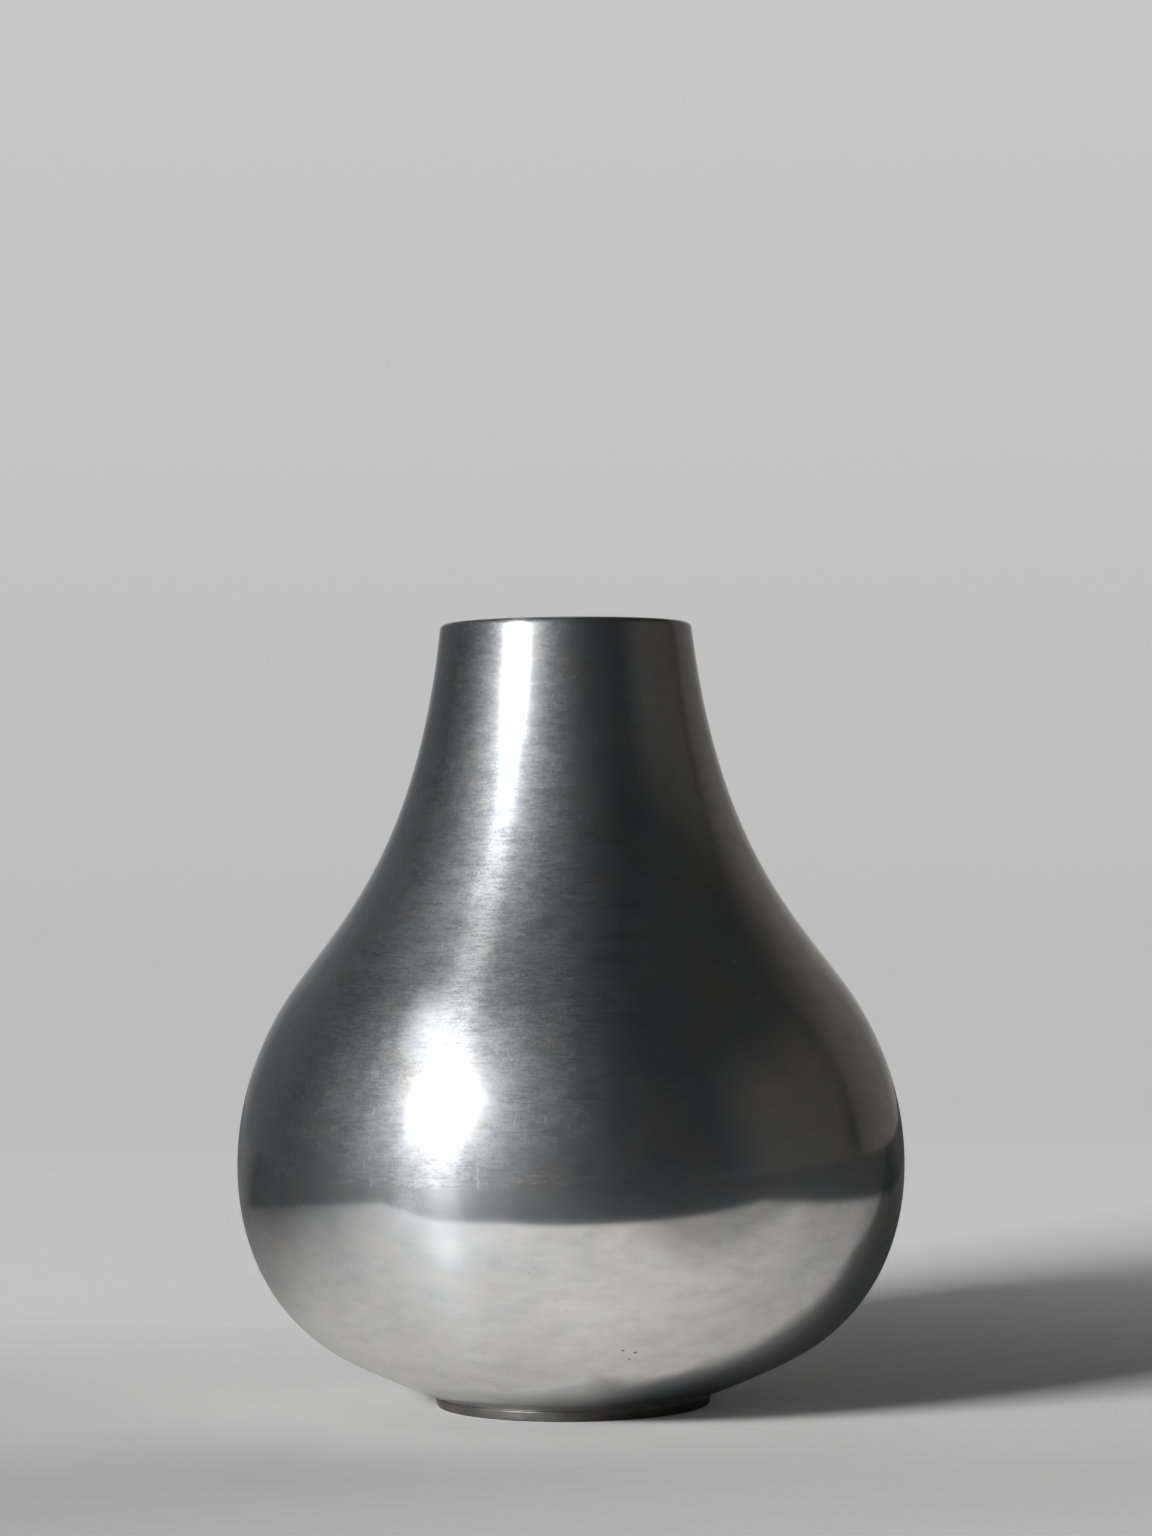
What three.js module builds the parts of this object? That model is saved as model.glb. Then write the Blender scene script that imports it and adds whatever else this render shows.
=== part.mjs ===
// Spun aluminium vase: two shells lapped and brazed at the belly, a wired lip and a turned foot ring.
// Millimetres, +Z up. The origin is the centre of the foot on the surface that the vase stands on.
// Every piece is round about Z, so each is one closed section turned about that axis.

import * as THREE from "three";

// Overall height, to the top of the lip.
const height = 240;

// Foot ring: its outside narrows towards the floor, and a spigot rises from its inner edge.
const ringHeight = 3.1;
const ringTopRadius = 42.4;
const ringDraft = 0.6;
const ringWidth = 8;
const ringTopRound = 0.45;
const ringFloorRound = 0.4;
const ringBoreChamfer = 0.4;
const spigotWidth = 2;
const spigotHeight = 0.85;

// How far the ring stands out past the corner where the bowl's bottom turns up.
const ringProud = 0.2;

// Stations of the outside outline, each a radius and a height above the floor.
const bilgeRadius = 72.8;
const bilgeHeight = 17.1;
const bellyRadius = 102.4;
const bellyHeight = 74;
const shoulderRadius = 86.45;
const shoulderHeight = 125.8;
const mouthRadius = 38.9;

// Slope of the outline at the stations, in degrees: the first two from the floor, the others from upright.
const underSlope = 22.5;
const bilgeSlope = 31;
const shoulderLean = 34;
const mouthLean = 6.5;

// Handle lengths, which set how long the outline keeps its direction on leaving and on reaching a station.
const footHandle = 12;
const bilgeHandleIn = 8.9;
const bilgeHandleOut = 23.4;
const bellyHandleIn = 23.6;
const bellyHandleOut = 27.3;
const shoulderHandleIn = 5.78;
const shoulderHandleOut = 25.8;
const mouthHandle = 70.9;

// Sheet metal, the wire in the lip, and how far round the wire the sheet is curled, in degrees.
const sheet = 1.2;
const wireRadius = 0.7;
const curlSweep = 250;

// Joint clearances: filler metal runs into the gap in a brazed joint, and the wire lies in its curl.
const brazeGap = 0.15;
const wireGap = 0.1;

// Lap at the belly: the bowl's edge is set in by a step and stands up inside the upper shell.
const lapHeight = 8;
const stepDrop = 4;
const seamFillet = 1.1;

// Filler metal under the bowl's bottom, against the bore of the foot ring.
const footFillet = 1.4;

// Fineness of the faceting: flats round the axis, and steps along each part of a section.
const flatsRound = 60;
const stepsUnder = 4;
const stepsBilge = 8;
const stepsShoulder = 7;
const stepsNeck = 11;
const stepsLipFront = 3;
const stepsLipBack = 4;
const stepsWire = 8;
const stepsEdge = 3;
const stepsLap = 2;

const aluminium = { metalness: 1 };
const shellFinish = { ...aluminium, color: 0x9fa2a5, roughness: 0.3 };
const footFinish = { ...aluminium, color: 0x8f9295, roughness: 0.35 };
const wireFinish = { ...aluminium, color: 0xb4b7ba, roughness: 0.4 };
const brazeFinish = { ...aluminium, color: 0xa9a59c, roughness: 0.6 };

const point = (radius, level) => new THREE.Vector2(radius, level);

// Unit direction in the section plane, with the angle taken from the floor.
function direction(degrees) {
  const angle = THREE.MathUtils.degToRad(degrees);
  return point(Math.cos(angle), Math.sin(angle));
}

// One stretch of the outline, tangent to a given direction at each end.
function stretch(start, startDegrees, startHandle, end, endDegrees, endHandle) {
  const leave = start.clone().addScaledVector(direction(startDegrees), startHandle);
  const arrive = end.clone().addScaledVector(direction(endDegrees), -endHandle);
  return new THREE.CubicBezierCurve(start, leave, arrive, end);
}

const upright = 90;
const mouthNormal = direction(mouthLean);

// The lip is a curl over the wire, and its top is the top of the vase.
const curlInside = wireRadius + wireGap;
const lipRadius = curlInside + sheet;
const lipCentreHeight = height - lipRadius;
const mouthHeight = lipCentreHeight + lipRadius * mouthNormal.y;

// The ring's spigot stands in the hollow of the bowl's bottom, whose middle is pressed up.
const boreRadius = ringTopRadius - ringWidth;
const spigotRadius = boreRadius + spigotWidth;
const panelRadius = spigotRadius + brazeGap;
const panelHeight = ringHeight + spigotHeight + brazeGap;
const footJointRadius = ringTopRadius - ringProud;

const footJoint = point(footJointRadius, ringHeight);
const bilge = point(bilgeRadius, bilgeHeight);
const belly = point(bellyRadius, bellyHeight);
const shoulder = point(shoulderRadius, shoulderHeight);
const mouth = point(mouthRadius, mouthHeight);

const underCurve = stretch(footJoint, underSlope, footHandle, bilge, bilgeSlope, bilgeHandleIn);
const bilgeCurve = stretch(bilge, bilgeSlope, bilgeHandleOut, belly, upright, bellyHandleIn);
const shoulderCurve = stretch(
  belly, upright, bellyHandleOut,
  shoulder, upright + shoulderLean, shoulderHandleIn,
);
const neckCurve = stretch(
  shoulder, upright + shoulderLean, shoulderHandleOut,
  mouth, upright + mouthLean, mouthHandle,
);

// A point at a given depth below the outside face, square to it, at a share of the curve's length.
function below(curve, share, depth) {
  const tangent = curve.getTangentAt(share);
  return curve.getPointAt(share).add(point(-tangent.y, tangent.x).multiplyScalar(depth));
}

// Points at that depth from one share of the length to another, both ends included.
function wall(curve, depth, steps, from = 0, to = 1) {
  const points = [];
  for (let step = 0; step <= steps; step += 1) {
    points.push(below(curve, from + ((to - from) * step) / steps, depth));
  }
  return points;
}

// The share of a rising curve at which the wall at that depth reaches a level.
function shareAtHeight(curve, depth, level) {
  const halvings = 40;
  let low = 0;
  let high = 1;
  for (let halving = 0; halving < halvings; halving += 1) {
    const middle = (low + high) / 2;
    if (below(curve, middle, depth).y < level) {
      low = middle;
    } else {
      high = middle;
    }
  }
  return (low + high) / 2;
}

// Points on an arc, both ends included, with the angles in degrees from the outward direction.
function arc(centre, radius, from, to, steps) {
  const points = [];
  for (let step = 0; step <= steps; step += 1) {
    const turn = direction(from + ((to - from) * step) / steps).multiplyScalar(radius);
    points.push(centre.clone().add(turn));
  }
  return points;
}

// Turns a section, given anticlockwise with the axis on its left, into a named solid.
function turned(name, section, finish) {
  const last = section[section.length - 1];
  const onAxis = section[0].x === 0 && last.x === 0;
  const profile = onAxis ? section : [...section, section[0]];
  const geometry = new THREE.LatheGeometry(profile, flatsRound);
  geometry.rotateX(Math.PI / 2);
  const mesh = new THREE.Mesh(geometry, new THREE.MeshStandardMaterial(finish));
  mesh.name = name;
  return mesh;
}

// The lap stands against the upper shell's inner wall, one gap away from it.
const lapOutside = sheet + brazeGap;
const lapInside = lapOutside + sheet;
const lapTop = bellyHeight + lapHeight;

const lipCentre = below(neckCurve, 1, lipRadius);

// The curl's section, from the outside wall over the top to its inner end.
function curl(radius) {
  const front = arc(lipCentre, radius, mouthLean, upright, stepsLipFront);
  const back = arc(lipCentre, radius, upright, mouthLean + curlSweep, stepsLipBack);
  return [...front, ...back.slice(1)];
}

function upperShell() {
  const outside = [
    ...wall(shoulderCurve, 0, stepsShoulder).slice(0, -1),
    ...wall(neckCurve, 0, stepsNeck).slice(0, -1),
  ];
  const lapEnd = shareAtHeight(shoulderCurve, sheet, lapTop);
  const inside = [
    ...wall(neckCurve, sheet, stepsNeck, 1, 0).slice(1),
    ...wall(shoulderCurve, sheet, stepsShoulder - stepsLap, 1, lapEnd).slice(1),
    ...wall(shoulderCurve, sheet, stepsLap, lapEnd, 0).slice(1),
  ];
  const lip = [...curl(lipRadius), ...curl(curlInside).reverse()];
  return turned("upper_shell", [...outside, ...lip, ...inside], shellFinish);
}

function lipWire() {
  const fullTurn = 360;
  const section = arc(lipCentre, wireRadius, 0, fullTurn, stepsWire).slice(0, -1);
  return turned("lip_wire", section, wireFinish);
}

function lowerBowl() {
  const bottom = [
    point(0, panelHeight),
    point(panelRadius, panelHeight),
    point(panelRadius, ringHeight),
  ];
  const outside = [
    ...wall(underCurve, 0, stepsUnder).slice(0, -1),
    ...wall(bilgeCurve, 0, stepsBilge),
  ];
  const outerEnd = shareAtHeight(shoulderCurve, lapOutside, lapTop);
  const innerEnd = shareAtHeight(shoulderCurve, lapInside, lapTop);
  const lap = [
    ...wall(shoulderCurve, lapOutside, stepsLap, 0, outerEnd),
    ...wall(shoulderCurve, lapInside, stepsLap, innerEnd, 0),
  ];
  const stepEnd = shareAtHeight(bilgeCurve, sheet, bellyHeight - stepDrop);
  const inside = [
    ...wall(bilgeCurve, sheet, stepsBilge, stepEnd, 0).slice(0, -1),
    ...wall(underCurve, sheet, stepsUnder, 1, 0).slice(0, -1),
  ];
  const mitre = sheet * Math.tan(THREE.MathUtils.degToRad(underSlope / 2));
  const floor = [
    point(footJointRadius - mitre, ringHeight + sheet),
    point(panelRadius + sheet, ringHeight + sheet),
    point(panelRadius + sheet, panelHeight + sheet),
    point(0, panelHeight + sheet),
  ];
  return turned("lower_bowl", [...bottom, ...outside, ...lap, ...inside, ...floor], shellFinish);
}

// A fillet that lies on top of the lap and against the upper shell.
function seamBraze() {
  const wallFoot = shareAtHeight(shoulderCurve, lapOutside, lapTop);
  const wallTop = shareAtHeight(shoulderCurve, lapOutside, lapTop + seamFillet);
  const toe = shareAtHeight(shoulderCurve, lapOutside + seamFillet, lapTop);
  const section = [
    below(shoulderCurve, wallFoot, lapOutside),
    below(shoulderCurve, wallTop, lapOutside),
    below(shoulderCurve, toe, lapOutside + seamFillet),
  ];
  return turned("seam_braze", section, brazeFinish);
}

function footRing() {
  const spigotTop = ringHeight + spigotHeight;
  const floorRadius = ringTopRadius - ringDraft;
  const topEdge = point(ringTopRadius - ringTopRound, ringHeight - ringTopRound);
  const floorEdge = point(floorRadius - ringFloorRound, ringFloorRound);
  const section = [
    point(boreRadius, ringBoreChamfer),
    point(boreRadius + ringBoreChamfer, 0),
    ...arc(floorEdge, ringFloorRound, -upright, 0, stepsEdge),
    ...arc(topEdge, ringTopRound, 0, upright, stepsEdge),
    point(spigotRadius, ringHeight),
    point(spigotRadius, spigotTop),
    point(boreRadius, spigotTop),
  ];
  return turned("foot_ring", section, footFinish);
}

// A fillet that lies under the pressed-up panel and against the ring's bore.
function footBraze() {
  const outer = boreRadius - brazeGap;
  const section = [
    point(outer, panelHeight - footFillet),
    point(outer, panelHeight),
    point(outer - footFillet, panelHeight),
  ];
  return turned("foot_braze", section, brazeFinish);
}

const vase = new THREE.Group();
vase.name = "vase";
vase.add(upperShell(), lipWire(), lowerBowl(), seamBraze(), footRing(), footBraze());

export default vase;
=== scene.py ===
"""Spun aluminium vase: two sheet shells joined at the belly, a wired lip and a turned foot ring.

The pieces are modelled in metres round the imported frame, +Z up, each turned about the Z axis.
"""
import math

import bmesh
import bpy
from mathutils import Matrix, Vector


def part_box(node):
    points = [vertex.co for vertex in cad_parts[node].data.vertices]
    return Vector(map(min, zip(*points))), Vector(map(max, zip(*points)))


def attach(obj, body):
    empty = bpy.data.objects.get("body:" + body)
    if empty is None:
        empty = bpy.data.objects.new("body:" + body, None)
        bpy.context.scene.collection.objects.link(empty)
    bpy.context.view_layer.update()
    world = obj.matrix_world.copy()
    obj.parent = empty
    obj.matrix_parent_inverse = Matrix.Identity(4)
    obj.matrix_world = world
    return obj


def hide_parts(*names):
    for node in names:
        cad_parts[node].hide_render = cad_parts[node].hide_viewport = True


bl_info = {
    "name": "Spun Aluminium Vase",
    "version": (1, 0, 0),
    "blender": (4, 5, 0),
    "location": "View3D > Sidebar > Vase",
    "description": "Models a spun metal vase piece by piece, with its finishes, studio and camera",
    "category": "Object",
}

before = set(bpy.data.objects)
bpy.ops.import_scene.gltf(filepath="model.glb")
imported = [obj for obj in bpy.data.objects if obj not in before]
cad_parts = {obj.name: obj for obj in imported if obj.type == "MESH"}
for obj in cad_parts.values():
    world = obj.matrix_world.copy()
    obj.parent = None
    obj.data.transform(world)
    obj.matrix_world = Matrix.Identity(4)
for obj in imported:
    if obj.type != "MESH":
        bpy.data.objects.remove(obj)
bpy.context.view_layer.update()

MM = 0.001
UPRIGHT = math.radians(90)

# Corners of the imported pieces, from which the driving sizes are taken.
SHELL_LOW, SHELL_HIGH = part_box("upper_shell")
BOWL_LOW, BOWL_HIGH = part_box("lower_bowl")
RING_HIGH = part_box("foot_ring")[1]
WIRE_LOW, WIRE_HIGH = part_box("lip_wire")
SEAM_LOW, SEAM_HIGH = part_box("seam_braze")
FILLET_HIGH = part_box("foot_braze")[1]


def length(name, metres, description):
    """A length that a user may change."""
    return bpy.props.FloatProperty(
        name=name, description=description, default=metres, min=0, unit="LENGTH", precision=5
    )


def angle(name, degrees, description):
    """An angle that a user may change."""
    return bpy.props.FloatProperty(
        name=name, description=description, default=math.radians(degrees), subtype="ANGLE"
    )


def amount(name, value, description):
    """A plain number that a user may change."""
    return bpy.props.FloatProperty(name=name, description=description, default=value, min=0)


def linear(hex_colour):
    """An sRGB hex colour as linear red, green and blue."""
    channels = [int(hex_colour[place:place + 2], 16) / 255 for place in (1, 3, 5)]
    return tuple(c / 12.92 if c <= 0.04045 else ((c + 0.055) / 1.055) ** 2.4 for c in channels)


def colour(name, hex_colour, description):
    """A colour that a user may change, given as sRGB hex."""
    return bpy.props.FloatVectorProperty(
        name=name, description=description, default=linear(hex_colour), min=0, max=1,
        size=3, subtype="COLOR",
    )


class VaseSizes(bpy.types.PropertyGroup):
    """Sizes of the vase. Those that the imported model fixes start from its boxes."""

    height: length("Height", SHELL_HIGH.z, "Top of the lip above the floor")
    belly_radius: length("Belly radius", SHELL_HIGH.x, "Greatest radius")
    belly_height: length("Belly height", SHELL_LOW.z, "Height of the seam at the greatest radius")
    bilge_radius: length("Bilge radius", 72.8 * MM, "Radius where the bottom turns up into the side")
    bilge_height: length("Bilge height", 17.1 * MM, "Height of that place")
    shoulder_radius: length("Shoulder radius", 86.45 * MM, "Radius where the shoulder turns into the neck")
    shoulder_height: length("Shoulder height", 125.8 * MM, "Height of that place")
    mouth_radius: length("Mouth radius", 38.9 * MM, "Outer radius where the lip's curl begins")
    under_slope: angle("Under slope", 22.5, "Slope of the bottom where it leaves the foot")
    bilge_slope: angle("Bilge slope", 31, "Slope at the bilge")
    shoulder_lean: angle("Shoulder lean", 34, "Lean of the shoulder from upright")
    mouth_lean: angle("Mouth lean", 6.5, "Lean of the neck at the mouth from upright")
    sheet: length("Sheet", 1.2 * MM, "Thickness of the sheet")
    curl_sweep: angle("Curl sweep", 250, "How far round the wire the lip is curled")
    braze_gap: length("Braze gap", 0.15 * MM, "Gap that filler metal runs into")
    foot_joint: length("Foot joint", 42.2 * MM, "Radius at which the bottom turns up beside the ring")
    ring_draft: length("Ring draft", 0.6 * MM, "How much the ring narrows towards the floor")
    ring_top_round: length("Ring top round", 0.45 * MM, "Rounding of the ring's upper edge")
    ring_floor_round: length("Ring floor round", 0.4 * MM, "Rounding of the ring's lower edge")
    ring_chamfer: length("Ring chamfer", 0.4 * MM, "Chamfer at the bore")
    spigot: length("Spigot", 2 * MM, "Thickness of the ring's spigot")
    seam_fillet: length("Seam fillet", 1.1 * MM, "Leg of the fillet on the lap")
    foot_fillet: length("Foot fillet", 1.4 * MM, "Leg of the fillet in the ring's bore")


class VaseFinish(bpy.types.PropertyGroup):
    """Colours and lustre of the metal."""

    sheet_bright: colour("Bright sheet", "#f6f5f3", "Clean polished sheet")
    sheet_patina: colour("Sheet patina", "#e8e7e6", "Sheet where the patina is thickest")
    haze_cool: colour("Cool haze", "#dfe4ea", "Patina that scatters light, where it looks bluish")
    haze_neutral: colour("Neutral haze", "#e7e7e6", "The same where it looks neutral")
    inside: colour("Inside", "#a8a9aa", "Unpolished inside of the sheet")
    pit: colour("Pit", "#5a5856", "Bottom of a pit")
    ring: colour("Foot ring", "#757575", "Turned ring, dark with age")
    filler: colour("Filler metal", "#a9a59c", "As-brazed filler")
    wire: colour("Wire", "#c8cacc", "Drawn wire")
    mirror_roughness: amount("Mirror roughness", 0.11, "Roughness between the scratches")
    streak_roughness: amount("Streak roughness", 0.316, "Roughness of the spinning lines")
    haze_roughness: amount("Haze roughness", 0.54, "Roughness of the patina")
    streak_share: amount("Streak share", 0.06, "Share of the surface that spinning lines take")
    haze_share: amount("Haze share", 0.16, "Share of the surface that patina takes")


class VaseStudio(bpy.types.PropertyGroup):
    """The floor, the surroundings, the lamps and the camera."""

    floor_reach: length("Floor reach", 8.0, "Half the side of the floor")
    card_half_width: length("Card half width", 415 * MM, "Half the width of the card that the metal mirrors")
    card_front: length("Card front", 285 * MM, "Front edge of that card before the axis")
    key_distance: length("Key distance", 0.8, "Key lamp from the axis, along the floor")
    key_height: length("Key height", 0.43, "Middle of the key lamp above the floor")
    key_azimuth: angle("Key azimuth", 43.8, "Key lamp to the left of the camera")
    key_width: length("Key width", 0.18, "Width of the key lamp")
    key_tall: length("Key tall", 0.225, "Height of the key lamp itself")
    key_radiance: amount("Key radiance", 104, "Brightness of that lamp's face, where white is 1")
    floor_lamp_distance: length("Floor lamp distance", 0.793, "Lamp that lights the floor, along the floor")
    floor_lamp_height: length("Floor lamp height", 0.315, "Middle of that lamp above the floor")
    floor_lamp_azimuth: angle("Floor lamp azimuth", 42.1, "That lamp to the left of the camera")
    floor_lamp_width: length("Floor lamp width", 0.27, "Width of that lamp")
    floor_lamp_tall: length("Floor lamp tall", 0.07, "Height of that lamp itself")
    camera_distance: length("Camera distance", 1.249, "Camera from the axis")
    camera_height: length("Camera height", 0.1703, "Camera above the floor")
    camera_pitch: angle("Camera pitch", 1.147, "How far the camera looks up")
    camera_yaw: angle("Camera yaw", -0.1254, "How far the camera is turned to the left")
    camera_roll: angle("Camera roll", -0.569, "Turn of the picture")
    lens_mm: amount("Lens", 94.9, "Focal length in millimetres on a sensor 36 mm tall")


# Handle lengths of the outline, which set how long it keeps its direction at a station.
FOOT_HANDLE = 12 * MM
BILGE_HANDLES = (8.9 * MM, 23.4 * MM)
BELLY_HANDLES = (23.6 * MM, 27.3 * MM)
SHOULDER_HANDLES = (5.78 * MM, 25.8 * MM)
MOUTH_HANDLE = 70.9 * MM

# Fineness of the meshes.
FLATS_ROUND = 192
OUTLINE_STEPS = 72
CURL_STEPS = 22
LAP_STEPS = 10
WIRE_SIDES = 16
CURVE_SAMPLES = 400
RING_FLOOR_SEGMENTS, RING_TOP_SEGMENTS = 6, 8
SMOOTH_ANGLE = math.radians(30)

# Where the outline's last step at the seam is divided, in steps from the seam.
SEAM_SHARES = (0.5, 0.22, 0.08)

# Within this a vertex is at a place, below the next two vertices are one, and the last keeps a division
# by the height between two points from being one by nothing.
PLACE_TOLERANCE = 0.001 * MM
DOUBLES_TOLERANCE = 0.0005 * MM
LEAST_SPAN = 1e-12

# Gap between the ends of the wire in the lip, as an angle about the axis.
WIRE_JOINT = math.radians(0.8)

# A fillet's hollow face: the cuts along it, and its depth as a share of its length.
HOLLOW_CUTS, HOLLOW_DEPTH = 3, 0.16

# Spots of wear: azimuth to the right of the camera in degrees, then height above the floor, width and
# length up the side in millimetres, strength, and how much a pattern breaks the spot up.
# Rubbed spots add spinning lines, hazed spots add patina, and pits show their dark bottom.
RUBBED_UPPER = (
    (-32.3, 194.2, 3.2, 1.4, 0.5, 0.4),
    (-33.6, 200.0, 6.0, 18.0, 0.06, 0.6),
    (-27.6, 158.6, 9.0, 20.0, 0.15, 0.8),
    (-30.0, 129.0, 20.0, 26.0, 0.1, 0.15),
    (-28.5, 117.0, 20.0, 26.0, 0.08, 0.15),
    (-47.6, 214.1, 1.0, 5.0, 0.25, 0.7),
    (-55.9, 227.9, 1.2, 1.2, 0.2, 0.7),
    (-15.7, 231.5, 1.2, 2.2, 0.2, 0.7),
    (12.6, 169.9, 5.0, 9.0, 0.03, 0.9),
    (-5.1, 106.1, 0.7, 7.0, 0.14, 0.7),
)
PITS_UPPER = ((75.1, 87.5, 2.0, 1.2, 0.4, 0.7),)
HAZED_UPPER = (
    (-27.8, 121.0, 19.0, 44.0, 0.19, 0.0),
    (-27.0, 83.0, 12.0, 34.0, 0.08, 0.0),
)
RUBBED_LOWER = ((-20.5, 56.0, 22.0, 12.0, 0.06, 0.2),)
HAZED_LOWER = ((-27.5, 69.0, 12.0, 16.0, 0.09, 0.0),)
PITS_LOWER = (
    (9.8, 26.2, 1.3, 1.0, 0.7, 0.7),
    (12.4, 25.4, 1.4, 1.0, 0.75, 0.7),
    (11.5, 23.2, 1.0, 0.8, 0.7, 0.7),
    (2.9, 60.9, 6.0, 3.0, 0.12, 0.5),
    (-10.4, 62.7, 5.0, 2.0, 0.1, 0.5),
)

# Noise patterns: squeeze along Z, width of the cells, detail and roughness. A squeeze over 1 makes the
# cells lie round the vase, one under 1 makes them stand up and down, and RINGS draws them out to rings.
RINGS = None
SHEET_PATTERNS = {
    "clouds": (1, 34 * MM, 3, 0.6),
    "patches": (2.2, 9 * MM, 4, 0.55),
    "grain": (1, 0.8 * MM, 1, 0.6),
    "rings": (RINGS, 0.55 * MM, 4, 0.7),
    "wide_rings": (RINGS, 2.4 * MM, 3, 0.6),
    "waves": (1, 26 * MM, 1, 0.4),
    "brushed": (7, 4.2 * MM, 2, 0.6),
    "tints": (1, 13 * MM, 3, 0.6),
}
SCRATCH_PATTERNS = {"lines": (0.06, 0.6 * MM, 0, 0.5), "patches": (1, 12 * MM, 1, 0.5)}
INSIDE_PATTERNS = {"shape": (RINGS, 0.9 * MM, 4, 0.7), "mix": (1, 15 * MM, 4, 0.6)}
FOOT_PATTERNS = {"shape": (RINGS, 0.3 * MM, 3, 0.7), "mix": (1, 9 * MM, 3, 0.6)}
WIRE_PATTERNS = dict.fromkeys(("shape", "mix"), (RINGS, 0.12 * MM, 2, 0.6))
FILLER_PATTERNS = dict.fromkeys(("shape", "mix"), (1, 1.6 * MM, 4, 0.6))
RING_SQUEEZE = 0.012

# How much each pattern of the sheet counts in the spread of its spinning lines and of its patina, how far
# each share swings where the sheet is most uneven, and the range of the weighted patterns that it follows.
STREAK_WEIGHTS = {"clouds": 0.15, "patches": 0.2, "brushed": 0.35, "wide_rings": 0.1, "grain": 0.2}
STREAK_SWING, STREAK_RAMP = 0.5, (0.4, 0.6)
HAZE_WEIGHTS = {"clouds": -0.3, "patches": 0.3, "brushed": 0.35, "grain": 0.27}
HAZE_SWING, HAZE_RAMP = 0.28, (0.21, 0.41)

# Ranges of the patterns over which the base colour dulls, the roughness rises, the haze turns from cool to
# neutral, scratches and their patches show, a spot of wear is broken up, and a coat's shape counts.
DULLED_RAMP = (0.4, 0.7)
ROUGHNESS_RAMP, ROUGHNESS_SPREAD = (0.35, 0.7), (0.95, 1.1)
TINT_RAMP = (0.42, 0.68)
SCRATCH_RAMP = (0.7, 0.8)
SCRATCHED_RAMP = (0.5, 0.66)
SPOT_GRAIN = (0.35, 0.65)
SHAPE_RAMP = (0.3, 0.7)

# The share of patina that is left to the right of the axis, cut there as painted shade on the side away
# from the lamp, and the patina that a scratch or speck adds.
SHADED_SIDE_HAZE_RAMPS = ((0, 15 * MM, 1.0, 0.7), (30 * MM, 70 * MM, 0.0, 0.13))
MARK_HAZE = 0.08

# Cells of the net of specks, the size of a speck and the share of cells that have one, then how much of
# a speck and of a spot of wear is at full strength.
SPECK_CELL, SPECK_SIZE, SPECK_SHARE = 7 * MM, 0.4 * MM, 0.45
SPECK_CORE, SPOT_CORE = 0.3, 0.1

# Bumps of the sheet, each as its strength and its height. Then how far its streak and its haze draw the
# highlight out, and a Principled node's rotation of it in turns.
WAVE_BUMP, RING_BUMP = (1.0, 0.06 * MM), (0.06, 0.02 * MM)
STREAK_DRAW, HAZE_DRAW = 1.0, 0.41
QUARTER_TURN = 0.25

# The metals of one coat: the range of the mix pattern from the first colour to the second, the bump, the
# roughness where the shape pattern is low and where it is high, and how far the highlight is drawn out.
INSIDE_COAT = ((0.3, 0.7), (0.4, 0.05 * MM), (0.38, 0.55), 0.6)
FOOT_COAT = ((0.4, 1.1), (0.3, 0.02 * MM), (0.42, 0.5), 0.35)
WIRE_COAT = ((0, 1), None, (0.3, 0.45), 0.0)
FILLER_COAT = ((0, 1), (0.5, 0.1 * MM), (0.45, 0.65), 0.0)

# What makes a Mix node mix colours. Its inputs are then 0 for the share, 6 and 7, and its output is 2.
COLOURS = {"output": 2, "data_type": "RGBA"}


def deselect():
    """Leaves edit mode and deselects everything."""
    if bpy.context.object and bpy.context.object.mode != "OBJECT":
        bpy.ops.object.mode_set(mode="OBJECT")
    bpy.ops.object.select_all(action="DESELECT")


def edit():
    """Goes into edit mode on the active object."""
    bpy.ops.object.mode_set(mode="EDIT")


def select(kind, test):
    """In edit mode, selects only the verts, edges or faces that pass the test."""
    modes = {"verts": "VERT", "edges": "EDGE", "faces": "FACE"}
    bpy.ops.mesh.select_mode(type=modes[kind])
    bpy.ops.mesh.select_all(action="DESELECT")
    mesh = bmesh.from_edit_mesh(bpy.context.object.data)
    for element in getattr(mesh, kind):
        element.select_set(bool(test(element)))
    mesh.select_flush_mode()
    bmesh.update_edit_mesh(bpy.context.object.data)


def near(place):
    """A test for a vertex at a place."""
    return lambda vertex: (vertex.co - place).length < PLACE_TOLERANCE


def at(radius, height):
    """A point of the half section, which is drawn in the XZ plane."""
    return Vector((radius, 0, height))


def heading(slope):
    """Unit direction in the half section, with the slope in radians from the floor."""
    return Vector((math.cos(slope), 0, math.sin(slope)))


def draw_curve(knots, steps):
    """Draws a Bezier curve through (point, slope, handle in, handle out) and makes it a chain of edges."""
    deselect()
    bpy.ops.curve.primitive_bezier_curve_add(location=(0, 0, 0))
    drawn = bpy.context.object
    drawn.data.resolution_u = steps
    spline = drawn.data.splines[0]
    spline.resolution_u = steps
    spline.bezier_points.add(len(knots) - 2)
    for bezier, (place, slope, handle_in, handle_out) in zip(spline.bezier_points, knots):
        bezier.handle_left_type = "FREE"
        bezier.handle_right_type = "FREE"
        bezier.co = place
        bezier.handle_left = place - heading(slope) * handle_in
        bezier.handle_right = place + heading(slope) * handle_out
    bpy.ops.object.convert(target="MESH")
    return bpy.context.object


def extrude_chain(start, places):
    """In edit mode, extrudes the chain's end at start through places, one straight edge after another."""
    for place in places:
        select("verts", near(start))
        bpy.ops.mesh.extrude_region_move(TRANSFORM_OT_translate={"value": place - start})
        start = place


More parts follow.
